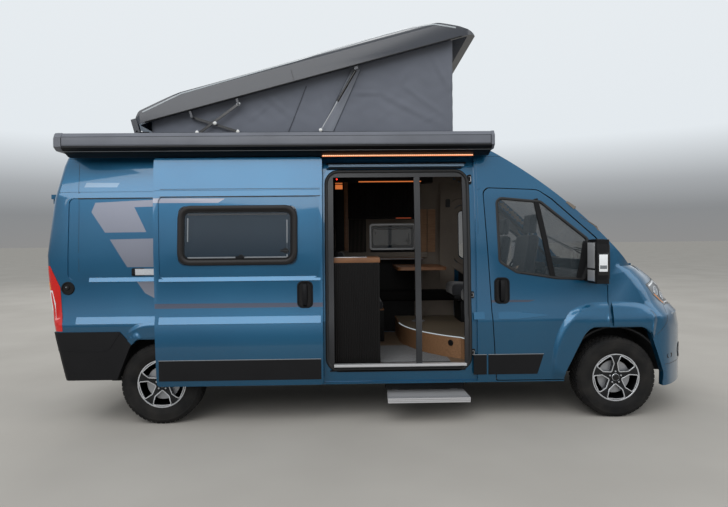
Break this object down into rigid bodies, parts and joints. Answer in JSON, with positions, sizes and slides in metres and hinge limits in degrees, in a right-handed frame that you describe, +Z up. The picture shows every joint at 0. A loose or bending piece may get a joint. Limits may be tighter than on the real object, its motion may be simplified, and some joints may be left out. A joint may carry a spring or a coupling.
{
  "type": "camper van",
  "caption": "High-roofed panel van fitted out as a camper, with a raised sleeping roof over a fabric tent, an open sliding side door, a roll-out step and a side awning case.",
  "frame": {"origin": "on the ground under the middle of the van's overall length and width", "axes": "+X forward along the van, +Y to the van's left, +Z up"},
  "size_m": [5.997, 2.508, 3.5758],
  "materials": {
    "body_paint": "metallic gloss",
    "roof_paint": "satin",
    "black_plastic": "satin",
    "tinted_glass": "polished",
    "clear_lens": "polished",
    "red_lens": "polished",
    "tyre": "matt",
    "alloy": "machined",
    "iron": "rough",
    "underbody": "satin",
    "floor_lining": "matt",
    "dark_wood": "satin",
    "pale_wood": "satin",
    "upholstery": "woven",
    "mattress_cover": "knitted",
    "awning_case": "powder coated",
    "frame_metal": "satin",
    "stay_metal": "brushed",
    "tube_paint": "gloss",
    "tent_fabric": "woven"
  },
  "bodies": {
    "body": {"side_panel_right": "body_paint", "side_panel_left": "body_paint", "sliding_door": "body_paint", "living_windows": "tinted_glass", "roof_panel": "body_paint", "windscreen": "tinted_glass", "front_bumper": "body_paint", "headlamps": "clear_lens", "front_wings": "body_paint", "grille": "black_plastic", "tail_lamps": "red_lens", "rear_bumper": "black_plastic", "chassis_frame": "underbody", "rear_axle": "underbody", "engine_block": "iron", "underfloor_gear": "underbody", "step_cassette": "underbody", "wheel_housings": "underbody", "floor_pan": "floor_lining", "cab_podium": "pale_wood", "cab_seats": "upholstery", "dashboard": "black_plastic", "kitchen_unit": "dark_wood", "dining_table": "pale_wood", "tall_furniture": "dark_wood", "bench_seat": "upholstery", "bed_platform": "pale_wood", "mattress": "mattress_cover", "fly_screen": "frame_metal", "awning": "awning_case", "roof_frame": "frame_metal", "tent": "tent_fabric"},
    "knuckle_right": {"knuckle_right": "iron"},
    "knuckle_left": {"knuckle_left": "iron"},
    "wheel_front_right": {"tyre_front_right": "tyre", "rim_front_right": "alloy"},
    "wheel_front_left": {"tyre_front_left": "tyre", "rim_front_left": "alloy"},
    "wheel_rear_right": {"tyre_rear_right": "tyre", "rim_rear_right": "alloy"},
    "wheel_rear_left": {"tyre_rear_left": "tyre", "rim_rear_left": "alloy"},
    "cab_door_right": {"cab_door_right": "body_paint", "cab_glass_right": "tinted_glass", "door_mirror_right": "black_plastic"},
    "cab_door_left": {"cab_door_left": "body_paint", "cab_glass_left": "tinted_glass", "door_mirror_left": "black_plastic"},
    "rear_door_right": {"rear_door_right": "body_paint", "rear_glass_right": "tinted_glass"},
    "rear_door_left": {"rear_door_left": "body_paint", "rear_glass_left": "tinted_glass"},
    "bonnet": {"bonnet": "body_paint"},
    "roof": {"roof_shell": "roof_paint"},
    "stays_rising": {"stays_rising": "stay_metal"},
    "stays_falling": {"stays_falling": "stay_metal"},
    "gas_tubes": {"gas_tubes": "tube_paint"},
    "gas_rods": {"gas_rods": "stay_metal"},
    "step": {"step_tread": "frame_metal"},
    "steering_wheel": {"steering_wheel": "black_plastic"}
  },
  "joints": [
    {"name": "steer_right", "type": "hinge", "parent": "body", "child": "knuckle_right", "pos_m": [2.051, -0.83, 0.356], "axis": [0, 0, 1], "range_deg": [-33, 33]},
    {"name": "steer_left", "type": "hinge", "parent": "body", "child": "knuckle_left", "pos_m": [2.051, 0.83, 0.356], "axis": [0, 0, 1], "range_deg": [-33, 33]},
    {"name": "roll_front_right", "type": "hinge", "parent": "knuckle_right", "child": "wheel_front_right", "pos_m": [2.051, -0.905, 0.356], "axis": [0, 1, 0], "continuous": true},
    {"name": "roll_front_left", "type": "hinge", "parent": "knuckle_left", "child": "wheel_front_left", "pos_m": [2.051, 0.905, 0.356], "axis": [0, 1, 0], "continuous": true},
    {"name": "roll_rear_right", "type": "hinge", "parent": "body", "child": "wheel_rear_right", "pos_m": [-1.984, -0.895, 0.356], "axis": [0, 1, 0], "continuous": true},
    {"name": "roll_rear_left", "type": "hinge", "parent": "body", "child": "wheel_rear_left", "pos_m": [-1.984, 0.895, 0.356], "axis": [0, 1, 0], "continuous": true},
    {"name": "cab_door_right_hinge", "type": "hinge", "parent": "body", "child": "cab_door_right", "pos_m": [1.978, -1.032, 1], "axis": [0, 0, 1], "range_deg": [0, 70]},
    {"name": "cab_door_left_hinge", "type": "hinge", "parent": "body", "child": "cab_door_left", "pos_m": [1.978, 1.032, 1], "axis": [0, 0, -1], "range_deg": [0, 70]},
    {"name": "rear_door_right_hinge", "type": "hinge", "parent": "body", "child": "rear_door_right", "pos_m": [-2.989, -0.795, 1.4], "axis": [0, 0, 1], "range_deg": [0, 180]},
    {"name": "rear_door_left_hinge", "type": "hinge", "parent": "body", "child": "rear_door_left", "pos_m": [-2.989, 0.795, 1.4], "axis": [0, 0, -1], "range_deg": [0, 180]},
    {"name": "bonnet_hinge", "type": "hinge", "parent": "body", "child": "bonnet", "pos_m": [2.34, 0, 1.358], "axis": [0, -1, 0], "range_deg": [0, 60]},
    {"name": "roof_hinge", "type": "hinge", "parent": "body", "child": "roof", "pos_m": [-2.215, 0, 2.6], "axis": [0, 1, 0], "range_deg": [0, 14.85], "deforming": ["tent"]},
    {"name": "stay_rising_pivot", "type": "hinge", "parent": "body", "child": "stays_rising", "pos_m": [-1.685, 0, 2.575], "axis": [0, 1, 0], "range_deg": [0, 31.64]},
    {"name": "stay_falling_pivot", "type": "hinge", "parent": "body", "child": "stays_falling", "pos_m": [-1.324, 0, 2.603], "axis": [0, 1, 0], "range_deg": [-18.13, 0]},
    {"name": "gas_tube_pivot", "type": "hinge", "parent": "roof", "child": "gas_tubes", "pos_m": [-0.241, 0, 3.161], "axis": [0, 1, 0], "range_deg": [0, 40.61]},
    {"name": "gas_rod_slide", "type": "slide", "parent": "gas_tubes", "child": "gas_rods", "axis": [0.5113, 0, 0.8594], "range_m": [0, 0.2366]},
    {"name": "step_slide", "type": "slide", "parent": "body", "child": "step", "axis": [0, 1, 0], "range_m": [0, 0.27]},
    {"name": "steering_wheel_turn", "type": "hinge", "parent": "body", "child": "steering_wheel", "pos_m": [1.571, 0.45, 1.3], "axis": [0.8829, 0, -0.4695], "range_deg": [-515, 515]}
  ],
  "couplings": [
    {"joint": "steer_left", "follows": "steer_right", "ratio": 1},
    {"joint": "steering_wheel_turn", "follows": "steer_right", "ratio": -15.5},
    {"joint": "stay_rising_pivot", "follows": "roof_hinge", "ratio": 2.1171},
    {"joint": "stay_falling_pivot", "follows": "roof_hinge", "ratio": -1.2074},
    {"joint": "gas_tube_pivot", "follows": "roof_hinge", "ratio": 2.7215},
    {"joint": "gas_rod_slide", "follows": "roof_hinge", "m_per_rad": 0.9091}
  ]
}
